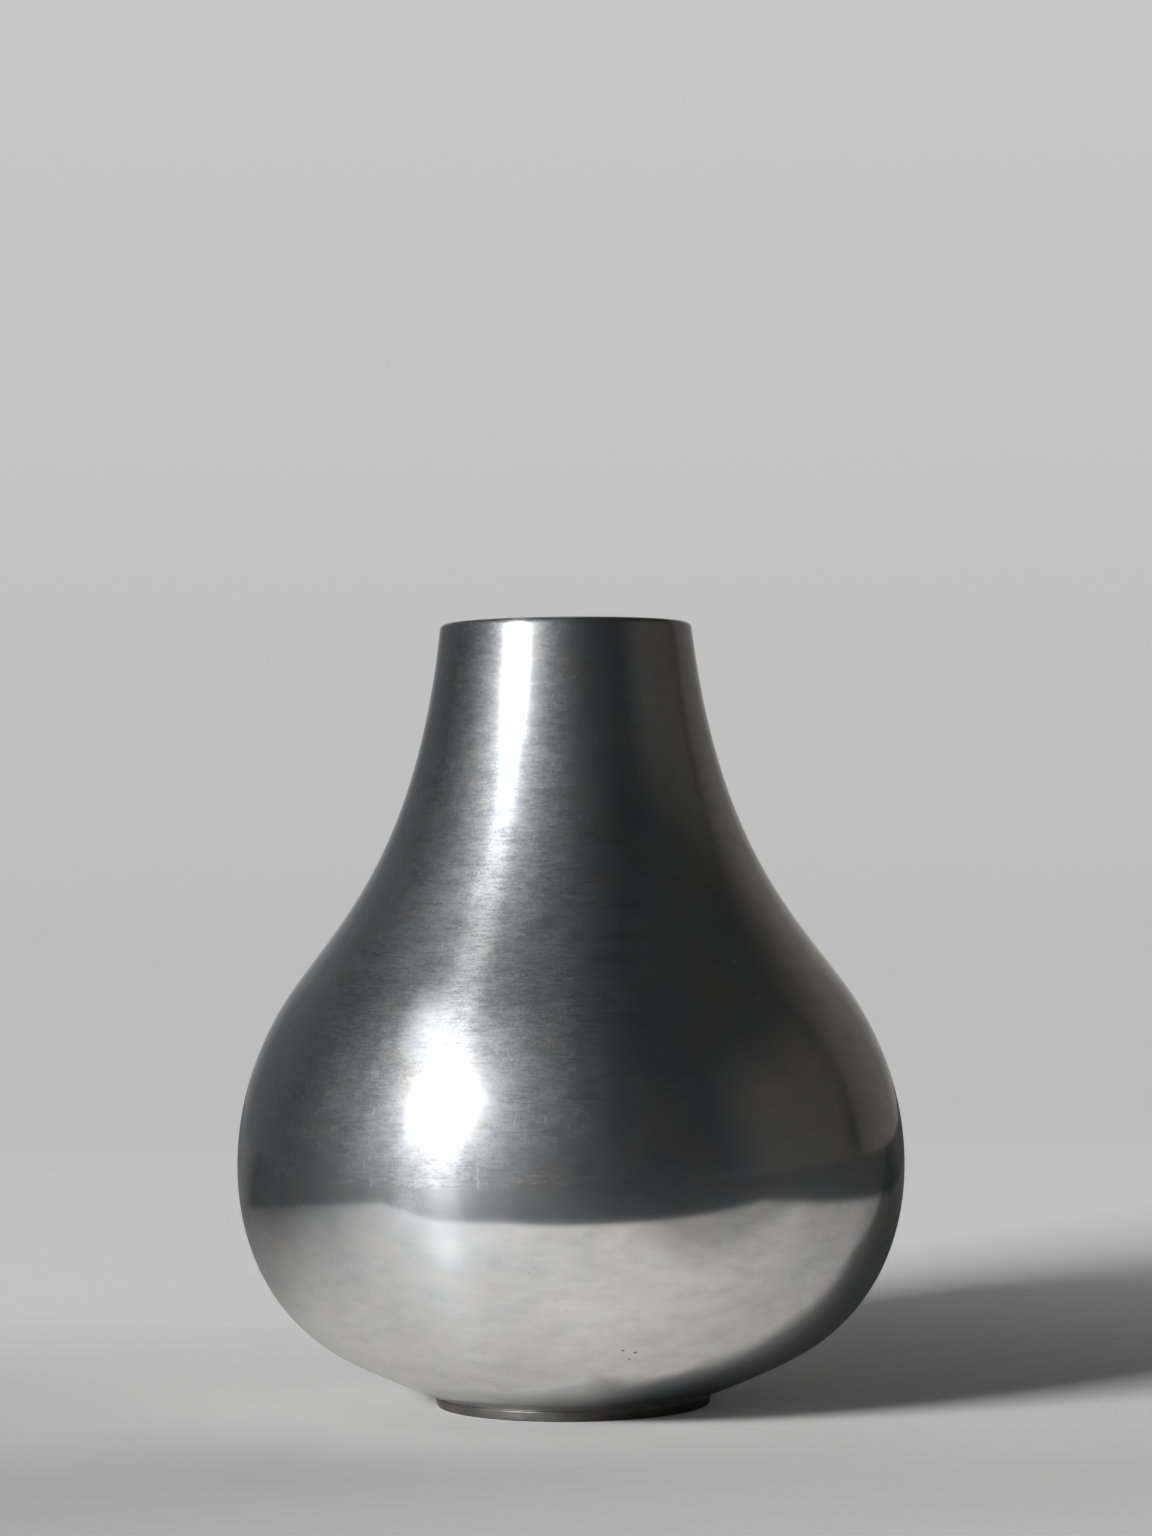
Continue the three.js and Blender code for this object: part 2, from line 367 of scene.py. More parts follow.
def fine_end(place, start, end, steps):
    """In edit mode, divides the outline's last step at the seam, so that the shading of the shells meets."""
    mesh = bmesh.from_edit_mesh(bpy.context.object.data)
    last = next(vertex for vertex in mesh.verts if near(place)(vertex))
    before = last.link_edges[0].other_vert(last).co.copy()
    select("verts", near(place))
    bpy.ops.mesh.delete(type="VERT")
    places = [bezier_point(start, end, step / OUTLINE_STEPS)[0] for step in steps]
    extrude_chain(before, [*places, place])


def draw_outline(corners):
    """Draws a closed outline with straight sides, as a chain of edges."""
    deselect()
    bpy.ops.mesh.primitive_plane_add(size=1, location=(0, 0, 0))
    edit()
    bpy.ops.mesh.delete(type="ONLY_FACE")
    select("verts", lambda vertex: vertex.co.x > 0 or vertex.co.y > 0)
    bpy.ops.mesh.delete(type="VERT")
    select("verts", lambda vertex: True)
    bpy.ops.transform.translate(value=corners[0] - Vector((-0.5, -0.5, 0)))
    extrude_chain(corners[0], corners[1:])
    bpy.ops.object.mode_set(mode="OBJECT")
    edit()
    ends = (near(corners[0]), near(corners[-1]))
    select("verts", lambda vertex: any(test(vertex) for test in ends))
    bpy.ops.mesh.edge_face_add()
    return bpy.context.object


def round_corner(place, radius, segments):
    """In edit mode, rounds the outline's corner at a place."""
    select("verts", lambda vertex: True)
    bpy.ops.mesh.edge_face_add()
    select("verts", near(place))
    bpy.ops.mesh.bevel(affect="VERTICES", offset=radius, segments=segments, profile=0.5)
    select("faces", lambda face: True)
    bpy.ops.mesh.delete(type="ONLY_FACE")


def spin_round():
    """In edit mode, turns the half section about the Z axis and closes it, with its faces outwards."""
    select("verts", lambda vertex: True)
    bpy.ops.mesh.spin(steps=FLATS_ROUND, angle=2 * math.pi, center=(0, 0, 0), axis=(0, 0, 1))
    bpy.ops.mesh.select_all(action="SELECT")
    bpy.ops.mesh.remove_doubles(threshold=DOUBLES_TOLERANCE)
    bpy.ops.mesh.normals_make_consistent(inside=False)
    mesh = bmesh.from_edit_mesh(bpy.context.object.data)
    widest = max(mesh.faces, key=lambda face: face.calc_center_median().xy.length)
    if widest.normal.xy.dot(widest.calc_center_median().xy) < 0:
        bpy.ops.mesh.flip_normals()


def give_wall(piece, thickness):
    """Gives an open shell its wall, inwards, with the inner wall in the piece's second material."""
    wall = piece.modifiers.new("wall", "SOLIDIFY")
    wall.thickness = thickness
    wall.offset = -1
    wall.use_even_offset = True
    wall.material_offset = 1
    bpy.ops.object.modifier_apply(modifier=wall.name)


def finish_piece(piece, name, nodes, materials=()):
    """Names a piece, shades it, gives it its materials, hangs it under the root body and hides the imported
    pieces that it stands for.
    """
    if piece.mode != "OBJECT":
        bpy.ops.object.mode_set(mode="OBJECT")
    piece.name = name
    piece.data.name = name
    bpy.ops.object.shade_smooth_by_angle(angle=SMOOTH_ANGLE)
    for material in materials:
        piece.data.materials.append(material)
    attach(piece, "root")
    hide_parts(*nodes)


def add_node(tree, kind, inputs=(), output=0, **settings):
    """Adds a node with its settings, sets or links its inputs, and gives one of its outputs."""
    node = tree.nodes.new("ShaderNode" + kind)
    for name, value in settings.items():
        setattr(node, name, value)
    for name, value in inputs.items() if isinstance(inputs, dict) else enumerate(inputs):
        socket = node.inputs[name]
        if isinstance(value, bpy.types.NodeSocket):
            tree.links.new(value, socket)
        elif socket.type == "RGBA":
            socket.default_value = (*value, 1)
        else:
            socket.default_value = value
    return node.outputs[output] if node.outputs else None


def new_material(name):
    """An empty node material, and its tree."""
    material = bpy.data.materials.new(name)
    material.use_nodes = True
    material.node_tree.nodes.clear()
    return material, material.node_tree


def weighted(tree, parts):
    """The sum of (value, weight) pairs."""
    total = 0.0
    for value, weight in parts:
        total = add_node(tree, "Math", (value, weight, total), operation="MULTIPLY_ADD")
    return total


def product(tree, result, *factors):
    """Several values multiplied, from the first to the last."""
    for factor in factors:
        result = add_node(tree, "Math", (result, factor), operation="MULTIPLY")
    return result


def summed_ramps(tree, value, ramps, total=0.0):
    """Ramps on one value, each held at its ends, added up from a total."""
    for ramp in ramps:
        part = add_node(tree, "MapRange", (value, *ramp))
        total = add_node(tree, "Math", (total, part), operation="ADD")
    return total


def multiplied_ramps(tree, *pairs):
    """Ramps multiplied, each on its own value and held at its ends."""
    return product(tree, *(add_node(tree, "MapRange", (value, *ramp)) for value, ramp in pairs))


def axis_distance(tree, place):
    """Distance of a place from the Z axis."""
    flat = add_node(tree, "VectorMath", (place, (1, 1, 0)), operation="MULTIPLY")
    return add_node(tree, "VectorMath", (flat,), "Value", operation="LENGTH")


def ring_vector(tree, place, lean):
    """A place squeezed so that noise on it makes rings round the Z axis.

    Along the outline the height and the radius are taken together, so that rings stay fine where
    the surface lies flat. lean is -1 where the radius shrinks with height and 1 where it grows.
    """
    x, y, z = add_node(tree, "SeparateXYZ", (place,)).node.outputs
    inset = add_node(tree, "Math", (axis_distance(tree, place), SHELL_HIGH.x), operation="SUBTRACT")
    along = add_node(tree, "Math", (inset, lean, z), operation="MULTIPLY_ADD")
    squeezed = [product(tree, part, RING_SQUEEZE) for part in (x, y)]
    return add_node(tree, "CombineXYZ", (*squeezed, along))


def add_patterns(tree, place, table, lean=1):
    """The noise patterns of a table, by name, on a surface whose radius grows or shrinks as lean says."""
    patterns = {}
    for name, (squeeze, cell, detail, roughness) in table.items():
        if squeeze is RINGS:
            vector = ring_vector(tree, place, lean)
        else:
            vector = add_node(tree, "VectorMath", (place, (1, 1, squeeze)), operation="MULTIPLY")
        inputs = {"Vector": vector, "Scale": 1 / cell, "Detail": detail, "Roughness": roughness}
        patterns[name] = add_node(tree, "TexNoise", inputs, "Fac")
    return patterns


def bumped(tree, pattern, bump, normal=None):
    """A normal bumped by a pattern, on top of another one if it is given. No bump leaves it as it was."""
    if not bump:
        return normal
    inputs = {"Strength": bump[0], "Distance": bump[1], "Height": pattern}
    if normal:
        inputs["Normal"] = normal
    return add_node(tree, "Bump", inputs)


def metal(tree, base, roughness, normal, draw=0.0):
    """A metal surface. With draw its highlight is drawn out across the rings of the spinning."""
    inputs = {"Base Color": base, "Metallic": 1.0, "Roughness": roughness, "Anisotropic": draw}
    if normal:
        inputs["Normal"] = normal
    if draw:
        inputs["Tangent"] = add_node(tree, "Tangent", direction_type="RADIAL", axis="Z")
        inputs["Anisotropic Rotation"] = QUARTER_TURN
    return add_node(tree, "BsdfPrincipled", inputs)


def specks(tree, place):
    """Specks where something has stuck to the metal, in a share of the cells of a loose net."""
    cells = add_node(tree, "TexVoronoi", {"Vector": place, "Scale": 1 / SPECK_CELL}).node.outputs
    size = SPECK_SIZE / SPECK_CELL
    dot = add_node(tree, "MapRange", (cells["Distance"], size, SPECK_CORE * size))
    chance = add_node(tree, "SeparateXYZ", (cells["Color"],), "X")
    chosen = add_node(tree, "Math", (chance, 1 - SPECK_SHARE), operation="GREATER_THAN")
    return product(tree, dot, chosen)


def scratches(tree, place):
    """Short fine scratches that run up and down, in patches.

    Real ones are a few hundredths of a millimetre wide. They are drawn 0.3 mm wide, so that they show.
    """
    patterns = add_patterns(tree, place, SCRATCH_PATTERNS)
    return multiplied_ramps(tree, (patterns["lines"], SCRATCH_RAMP), (patterns["patches"], SCRATCHED_RAMP))


def worn_spots(tree, place, spots, grain):
    """Spots of wear from a table, each fading out from its middle and broken up by a pattern."""
    total = 0.0
    for turn, height, across, tall, strength, grainy in spots:
        centre = surface_point(math.radians(turn), height * MM)
        ray = add_node(tree, "VectorMath", (place, centre), operation="SUBTRACT")
        ray = add_node(tree, "VectorMath", (ray, (1, 1, across / tall)), operation="MULTIPLY")
        reach = add_node(tree, "VectorMath", (ray,), "Value", operation="LENGTH")
        fade = (across * MM / 2, SPOT_CORE * across * MM, 0.0, strength)
        broken = (*SPOT_GRAIN, 1 - grainy, 1 + grainy)
        spot = multiplied_ramps(tree, (reach, fade), (grain, broken))
        total = add_node(tree, "Math", (total, spot), operation="MAXIMUM")
    return total


def surface_point(turn, height):
    """Point of the outside at an azimuth, taken from the camera to its right, and a height."""
    knots = upper_knots() if height > BOWL_HIGH.z - BOWL_LOW.z else lower_knots()
    start, end = knots[:2] if height < knots[1][0].z else knots[1:]
    radius = inset_points(start, end, 0, height, height, 1)[0].x
    return Vector((radius * math.sin(turn), -radius * math.cos(turn), height))


def spun_sheet(name, lean, rubbed, hazy, pits, unevenness):
    """Aluminium sheet, spun on a lathe and polished: bright between fine rings, under a thin cloudy patina.

    The clean metal mirrors sharply, the rings draw lamps out into a streak up and down the vase, and
    the patina adds a soft haze, bluish in places and neutral in others. The haze is cut on the right,
    the side away from the lamp, as painted shade that darkens that side. Its unevenness is 1 on the
    upper shell. Handling has left short scratches, specks, rubbed spots and a few pits. The wall is a
    little wavy, as hand-spun sheet is.
    """
    look = bpy.context.scene.vase_finish
    material, tree = new_material(name)
    place = add_node(tree, "TexCoord", output="Object")
    patterns = add_patterns(tree, place, SHEET_PATTERNS, lean)
    patches, grain = patterns["patches"], patterns["grain"]

    dulled = add_node(tree, "MapRange", (patches, *DULLED_RAMP))
    pitted = worn_spots(tree, place, pits, patterns["clouds"])
    base = add_node(tree, "Mix", {0: dulled, 6: look.sheet_bright, 7: look.sheet_patina}, **COLOURS)
    base = add_node(tree, "Mix", {0: pitted, 6: base, 7: look.pit}, **COLOURS)
    tint = add_node(tree, "MapRange", (patterns["tints"], *TINT_RAMP))
    haze_colour = add_node(tree, "Mix", {0: tint, 6: look.haze_cool, 7: look.haze_neutral}, **COLOURS)
    wavy = bumped(tree, patterns["waves"], WAVE_BUMP)

    spread = [look.mirror_roughness * end for end in ROUGHNESS_SPREAD]
    roughness = add_node(tree, "MapRange", (patches, *ROUGHNESS_RAMP, *spread))
    mirror = metal(tree, base, roughness, bumped(tree, patterns["rings"], RING_BUMP, wavy))
    streak = metal(tree, haze_colour, look.streak_roughness, wavy, STREAK_DRAW)
    haze = metal(tree, haze_colour, look.haze_roughness, wavy, HAZE_DRAW)

    shares = []
    for share, swing, weights, ramp in (
        (look.streak_share, STREAK_SWING * unevenness, STREAK_WEIGHTS, STREAK_RAMP),
        (look.haze_share, HAZE_SWING * unevenness, HAZE_WEIGHTS, HAZE_RAMP),
    ):
        wear = weighted(tree, [(patterns[pattern], weight) for pattern, weight in weights.items()])
        shares.append(add_node(tree, "MapRange", (wear, *ramp, share * (1 - swing), share * (1 + swing))))
    streaked, hazed = shares
    streaked = add_node(tree, "Math", (streaked, worn_spots(tree, place, rubbed, grain)), operation="ADD")
    hazed = add_node(tree, "Math", (hazed, worn_spots(tree, place, hazy, grain)), operation="ADD")
    marked = add_node(tree, "Math", (scratches(tree, place), specks(tree, place)), operation="MAXIMUM")
    hazed = add_node(tree, "Math", (marked, MARK_HAZE, hazed), operation="MULTIPLY_ADD")
    east = add_node(tree, "SeparateXYZ", (place,), "X")
    # Painted shade: less haze on the right, the side away from the lamp, darkens that side.
    hazed = product(tree, hazed, summed_ramps(tree, east, SHADED_SIDE_HAZE_RAMPS))

    lined = add_node(tree, "MixShader", (streaked, mirror, streak))
    clouded = add_node(tree, "MixShader", (hazed, lined, haze))
    add_node(tree, "OutputMaterial", {"Surface": clouded})
    return material


def coated_metal(name, table, colours, coat, lean=1):
    """A metal in one coat. The table's shape sets its bump and roughness, and its mix sets its colour."""
    mixing, bump, roughness, draw = coat
    material, tree = new_material(name)
    place = add_node(tree, "TexCoord", output="Object")
    patterns = add_patterns(tree, place, table, lean)
    share = add_node(tree, "MapRange", (patterns["mix"], *mixing))
    base = add_node(tree, "Mix", {0: share, 6: colours[0], 7: colours[1]}, **COLOURS)
    normal = bumped(tree, patterns["shape"], bump)
    rough = add_node(tree, "MapRange", (patterns["shape"], *SHAPE_RAMP, *roughness))
    add_node(tree, "OutputMaterial", {"Surface": metal(tree, base, rough, normal, draw)})
    return material


def spun_inside(name, lean):
    """The inside of the sheet, as it left the lathe: dull grey rings, never polished."""
    look = bpy.context.scene.vase_finish
    return coated_metal(name, INSIDE_PATTERNS, (look.inside, look.sheet_patina), INSIDE_COAT, lean)


def turned_ring(name):
    """A ring turned from bar: fine tool marks, a little duller than the polished sheet."""
    look = bpy.context.scene.vase_finish
    return coated_metal(name, FOOT_PATTERNS, (look.ring, look.filler), FOOT_COAT)


def drawn_wire(name):
    """Drawn aluminium wire: bright, with fine marks of the die along it."""
    look = bpy.context.scene.vase_finish
    return coated_metal(name, WIRE_PATTERNS, (look.wire, look.sheet_bright), WIRE_COAT)


def brazed_filler(name):
    """Filler metal left as it froze: dull, slightly yellow and uneven."""
    look = bpy.context.scene.vase_finish
    return coated_metal(name, FILLER_PATTERNS, (look.filler, look.inside), FILLER_COAT)


def lip_centre():
    """Centre of the lip's curl, and the curl's outer radius."""
    wire_radius = (WIRE_HIGH.z - WIRE_LOW.z) / 2
    centre = at(WIRE_HIGH.x - wire_radius, (WIRE_HIGH.z + WIRE_LOW.z) / 2)
    return centre, bpy.context.scene.vase_sizes.height - centre.z


def upper_knots():
    """Knots of the outline from the belly to the mouth."""
    sizes = bpy.context.scene.vase_sizes
    centre, radius = lip_centre()
    shoulder = at(sizes.shoulder_radius, sizes.shoulder_height)
    mouth = centre + heading(sizes.mouth_lean) * radius
    return [
        (at(sizes.belly_radius, sizes.belly_height), UPRIGHT, 0, BELLY_HANDLES[1]),
        (shoulder, UPRIGHT + sizes.shoulder_lean, *SHOULDER_HANDLES),
        (mouth, UPRIGHT + sizes.mouth_lean, MOUTH_HANDLE, 0),
    ]


def lower_knots():
    """Knots of the outline from the foot to the belly."""
    sizes = bpy.context.scene.vase_sizes
    return [
        (at(sizes.foot_joint, BOWL_LOW.z), sizes.under_slope, 0, FOOT_HANDLE),
        (at(sizes.bilge_radius, sizes.bilge_height), sizes.bilge_slope, *BILGE_HANDLES),
        (at(sizes.belly_radius, sizes.belly_height), UPRIGHT, BELLY_HANDLES[0], 0),
    ]


class VASE_OT_upper_shell(bpy.types.Operator):
    """Spins the neck and shoulder, and curls the lip"""

    bl_idname = "vase.upper_shell"
    bl_label = "Upper Shell"

    def execute(self, context):
        sizes = context.scene.vase_sizes
        knots = upper_knots()
        piece = draw_curve(knots, OUTLINE_STEPS)
        centre, _ = lip_centre()
        edit()
        fine_end(knots[0][0], *knots[:2], SEAM_SHARES)
        select("verts", near(knots[-1][0]))
        bpy.ops.mesh.spin(steps=CURL_STEPS, angle=sizes.curl_sweep, center=centre, axis=(0, 1, 0))
        spin_round()
        bpy.ops.object.mode_set(mode="OBJECT")
        spots = (RUBBED_UPPER, HAZED_UPPER, PITS_UPPER)
        sheet = spun_sheet("polished_spun_sheet_upper", -1, *spots, unevenness=1.0)
        piece.data.materials.append(sheet)
        piece.data.materials.append(spun_inside("dull_spun_inside_upper", -1))
        give_wall(piece, sizes.sheet)
        finish_piece(piece, "polished_upper_shell", ["upper_shell"])
        return {"FINISHED"}


class VASE_OT_lip_wire(bpy.types.Operator):
    """Bends the wire that stiffens the lip, with its two ends meeting"""

    bl_idname = "vase.lip_wire"
    bl_label = "Lip Wire"

    def execute(self, context):
        centre, _ = lip_centre()
        radius = (WIRE_HIGH.z - WIRE_LOW.z) / 2
        deselect()
        bpy.ops.mesh.primitive_circle_add(vertices=WIRE_SIDES, radius=radius, location=(0, 0, 0))
        piece = context.object
        edit()
        bpy.ops.transform.rotate(value=UPRIGHT, orient_axis="X", center_override=(0, 0, 0))
        bpy.ops.transform.translate(value=centre)
        sweep = 2 * math.pi - WIRE_JOINT
        bpy.ops.mesh.spin(steps=FLATS_ROUND, angle=sweep, center=(0, 0, 0), axis=(0, 0, 1))
        select("edges", lambda edge: edge.is_boundary)
        bpy.ops.mesh.edge_face_add()
        bpy.ops.mesh.select_all(action="SELECT")
        bpy.ops.mesh.normals_make_consistent(inside=False)
        finish_piece(piece, "bent_lip_wire", ["lip_wire"], [drawn_wire("drawn_wire")])
        return {"FINISHED"}


class VASE_OT_lower_bowl(bpy.types.Operator):
    """Spins the bowl, sets its edge in for the lap and presses its bottom up"""

    bl_idname = "vase.lower_bowl"
    bl_label = "Lower Bowl"

    def execute(self, context):
        sizes = context.scene.vase_sizes
        ring_top = BOWL_LOW.z
        panel_height = FILLET_HIGH.z
        panel_radius = FILLET_HIGH.x + sizes.braze_gap + sizes.spigot + sizes.braze_gap
        joint = at(sizes.foot_joint, ring_top)
        belly = at(sizes.belly_radius, sizes.belly_height)
        knots = lower_knots()
        piece = draw_curve(knots, OUTLINE_STEPS)
        edit()
        fine_end(belly, *knots[1:], [OUTLINE_STEPS - share for share in SEAM_SHARES])
        extrude_chain(
            joint, [at(panel_radius, ring_top), at(panel_radius, panel_height), at(0, panel_height)]
        )
        # The edge is set in at the seam and carried up behind the upper shell.
        start, end = upper_knots()[:2]
        depth = sizes.sheet + sizes.braze_gap
        extrude_chain(belly, inset_points(start, end, depth, belly.z, BOWL_HIGH.z, LAP_STEPS))
        spin_round()
        bpy.ops.object.mode_set(mode="OBJECT")
        spots = (RUBBED_LOWER, HAZED_LOWER, PITS_LOWER)
        sheet = spun_sheet("polished_spun_sheet_lower", 1, *spots, unevenness=0.25)
        piece.data.materials.append(sheet)
        piece.data.materials.append(spun_inside("dull_spun_inside_lower", 1))
        give_wall(piece, sizes.sheet)
        finish_piece(piece, "polished_lower_bowl", ["lower_bowl"])
        return {"FINISHED"}


def bezier_point(start, end, share):
    """Place and tangent on the curve between two knots, at a share of its parameter."""
    p0, slope0, _, handle0 = start
    p3, slope3, handle3, _ = end
    p1 = p0 + heading(slope0) * handle0
    p2 = p3 - heading(slope3) * handle3
    rest = 1 - share
    place = p0 * rest**3 + p1 * (3 * rest**2 * share) + p2 * (3 * rest * share**2) + p3 * share**3
    tangent = (p1 - p0) * rest**2 + (p2 - p1) * (2 * rest * share) + (p3 - p2) * share**2
    return place, tangent.normalized()


def inset_points(start, end, depth, low, high, steps):
    """Points at a depth inside the outline between two heights, from low to high."""
    points = []
    for sample in range(CURVE_SAMPLES + 1):
        place, tangent = bezier_point(start, end, sample / CURVE_SAMPLES)
        points.append(place + Vector((-tangent.z, 0, tangent.x)) * depth)
    inside = []
    for step in range(steps + 1):
        level = low + (high - low) * step / steps
        above = next(p for p in points if p.z >= level or p is points[-1])
        below = points[max(points.index(above) - 1, 0)]
        span = max(above.z - below.z, LEAST_SPAN)
        share = min(max((level - below.z) / span, 0), 1)
        inside.append(below.lerp(above, share))
    return inside


class VASE_OT_seam_filler(bpy.types.Operator):
    """Lays the fillet of filler metal on top of the lap"""

    bl_idname = "vase.seam_filler"
    bl_label = "Seam Filler"

    def execute(self, context):
        sizes = context.scene.vase_sizes
        start, end = upper_knots()[:2]
        depth = sizes.sheet + sizes.braze_gap
        low, high = SEAM_LOW.z, SEAM_HIGH.z
        foot, top = inset_points(start, end, depth, low, high, 1)
        toe = inset_points(start, end, depth + sizes.seam_fillet, low, high, 1)[0]
        piece = fillet_piece([foot, top, toe])
        filler = brazed_filler("seam_filler_metal")
        finish_piece(piece, "seam_filler", ["seam_braze"], [filler])
        return {"FINISHED"}


class VASE_OT_foot_filler(bpy.types.Operator):
    """Lays the fillet of filler metal inside the foot ring"""

    bl_idname = "vase.foot_filler"
    bl_label = "Foot Filler"

    def execute(self, context):
        sizes = context.scene.vase_sizes
        outer, top = FILLET_HIGH.x, FILLET_HIGH.z
        corner = at(outer, top)
        low = at(outer, top - sizes.foot_fillet)
        inner = at(outer - sizes.foot_fillet, top)
        piece = fillet_piece([corner, low, inner])
        filler = brazed_filler("foot_filler_metal")
        finish_piece(piece, "foot_filler", ["foot_braze"], [filler])
        return {"FINISHED"}


def fillet_piece(corners):
    """A fillet of filler metal with a hollow face between its last two corners."""
    piece = draw_outline(corners)
    face = corners[2] - corners[1]
    inward = (corners[0] - (corners[1] + corners[2]) / 2).normalized()
    ends = (near(corners[1]), near(corners[2]))
    select("edges", lambda edge: all(any(test(vertex) for vertex in edge.verts) for test in ends))
    bpy.ops.mesh.subdivide(number_cuts=HOLLOW_CUTS)
    depth = HOLLOW_DEPTH * face.length
    for cut in range(1, HOLLOW_CUTS + 1):
        share = cut / (HOLLOW_CUTS + 1)
        select("verts", near(corners[1] + face * share))
        bpy.ops.transform.translate(value=inward * depth * math.sin(math.pi * share))
    spin_round()
    return piece


class VASE_OT_foot_ring(bpy.types.Operator):
    """Turns the foot ring with its spigot"""

    bl_idname = "vase.foot_ring"
    bl_label = "Foot Ring"

    def execute(self, context):
        sizes = context.scene.vase_sizes
        ring_top = BOWL_LOW.z
        bore = FILLET_HIGH.x + sizes.braze_gap
        spigot = bore + sizes.spigot
        outer = RING_HIGH.x
        lean = sizes.ring_draft / (ring_top - sizes.ring_top_round - sizes.ring_floor_round)
        floor_corner = at(outer - sizes.ring_draft - lean * sizes.ring_floor_round, 0)
        top_corner = at(outer + lean * sizes.ring_top_round, ring_top)
        corners = [
            at(bore, sizes.ring_chamfer),
            at(bore + sizes.ring_chamfer, 0),
            floor_corner,
            top_corner,
            at(spigot, ring_top),
            at(spigot, RING_HIGH.z),
            at(bore, RING_HIGH.z),
        ]
        piece = draw_outline(corners)
        round_corner(floor_corner, sizes.ring_floor_round, RING_FLOOR_SEGMENTS)
        round_corner(top_corner, sizes.ring_top_round, RING_TOP_SEGMENTS)
        spin_round()
        finish_piece(piece, "turned_foot_ring", ["foot_ring"], [turned_ring("turned_ring")])
        return {"FINISHED"}


# Tones of the surroundings as linear levels, where white is 1.
FLOOR_FRONT, FLOOR_BACK = 0.39, 0.54
HORIZON_TONE, SKY_TONE = 0.507, 0.571
SKY_HEIGHTS = (-0.037, 0.2)
WHITE = (1, 1, 1)

# Light on a white floor beside the foot, from its lamp and from the low band of fill all round. The lamp's
# light falls with the fourth power of the distance: twice for its spread, once for the slant at each end.
LIT, FILL = 0.65, 0.104
LAMP_FALL = -4.0
FILL_TOP = 0.45

# Every ramp below is where it starts and ends, in metres or degrees, and its value at each, or 0 to 1.
# The floor that the camera sees, its light painted in: its rise with the distance, its change sideways,
# a strip of painted shade and light on both sides of the vase, and the blend to the tone of the horizon
# outwards.
FLOOR_RISES = (
    (-0.13, 0.25, FLOOR_FRONT, FLOOR_BACK),
    (0.4, 1.3, 0.0, HORIZON_TONE - FLOOR_BACK),
    (-0.15, -0.24, 0.0, 0.042),
)
SIDEWAYS_PLACE = (-0.3, 0.3, -0.3, 0.3)
SIDEWAYS_SHARE = (-0.2, 0.3, 0.16, 0.0)
STRIP_FRONT, STRIP_BACK = (-0.2, -0.11), (0.03, -0.05)
STRIP_RISES = ((-0.08, -0.16, -0.04, 0.02), (0.0, 0.12, 0.0, 0.068))
OUTER_BLEND = (0.6, 1.6)
GLOW_BACK, GLOW_OUTWARD = (0.3, 0.9), (0.4, 0.6)

# The pale card that the metal mirrors, its light painted in: its tone, how that falls with the distance from
# the lamp, its edges, how its front bends, how its left side fades from CARD_FULL outwards to where it ends,
# and three places of painted shade, each as a ramp along x and one along y that ends at the share of light
# lost.
FLOOR_MIRRORED = 0.36
MIRRORED_TINT = (1.008, 1.0, 0.992)
CARD_FALL = -1.15
CARD_EDGE, CARD_SIDE_EDGE = 8 * MM, 40 * MM
CARD_BEND = ((-0.1, -0.2, 0.0, 0.04), (0.07, 0.45, 0.0, 0.06))
CARD_NEAR = (-0.065, -0.12, FLOOR_MIRRORED, FLOOR_MIRRORED * 1.27)
CARD_REACH = (-0.25, 0.1, 1.0, 0.62)
CARD_FULL = 0.1
CARD_LEFT_LEAN = (0.05, 0.36, 0.0, 0.1)
CARD_LEFT_EDGE = (-0.45, -0.41)
CARD_DIMS = (
    ((-0.11, -0.15), (-0.03, 0.06, 0.0, 0.25)),
    ((0.0, -0.02), (-0.19, -0.15, 0.0, 0.09)),
    ((0.06, 0.13), (-0.1, -0.17, 0.0, 0.42)),
)

# The vase's painted shadow on that card: its half width along it, its soft edge, where it begins on the left
# and the share left inside it, then the painted shade under the foot: how far it reaches and the share left
# there.
SHADOW_WIDTHS = ((-0.025, -0.009, 0.046, 0.07), (-0.009, 0.03, 0.0, 0.0235), (0.03, 0.146, 0.0, 0.0375))
SHADOW_EDGE = (-9 * MM, 5 * MM)
SHADOW_LEFT = (0.025, 0.003)
SHADOW_DEPTH = (0.0, 1.0, 0.35, 1.0)
CONTACT_END = (-10 * MM, 15 * MM, RING_HIGH.x + 8 * MM, RING_HIGH.x + 22 * MM)
CONTACT_LEAST = (-30 * MM, -5 * MM, 0.62, 0.22)

# The floor beyond the card by azimuth, as painted shade that is lighter behind: the right, the left and all
# behind.
FAR_RIGHT = (30, 75, 0.003, 0.02)
FAR_LEFT = (-90, -115, 0.0, 0.012)
FAR_BEHIND = (130, 150, 0.0, 0.1)

# The room's painted glow by azimuth: its right wall with an upright gap, its skirting and the pale wall
# behind.
# By height: the depth of the gap, the top of the skirting and the darkening upwards.
ROOM_RADIUS, ROOM_HEIGHT, ROOM_SIDES = 4.0, 9.0, 96
ROOM_RIGHT = (50, 70, 0.005, 0.034)
ROOM_BEHIND = ((112, 150, 0.0, 0.066), (150, 163, 0.0, 0.12), (163, 175, 0.0, 0.3))
GAP_AZIMUTH = 113.0
GAP_SIDE = (1.5, 5.5)
GAP_DEPTH = (0.5, 0.9, 0.35, 0.7)
SKIRTING_TOP = (0.4, 0.0)
SKIRTING_RIGHT = (40, 70, 0.0, 0.034)
ROOM_TOP = (3.2, 1.6, 0.2, 1.0)
ROOM_TURN = (50, 75)
ROOM_COOL, ROOM_WARM = (0.97, 0.99, 1.03), (1.03, 1.0, 0.93)

# Height of the camera's sensor in millimetres, and the nearest and farthest that it sees.
SENSOR_MM = 36
CAMERA_CLIP = (0.01, 50)


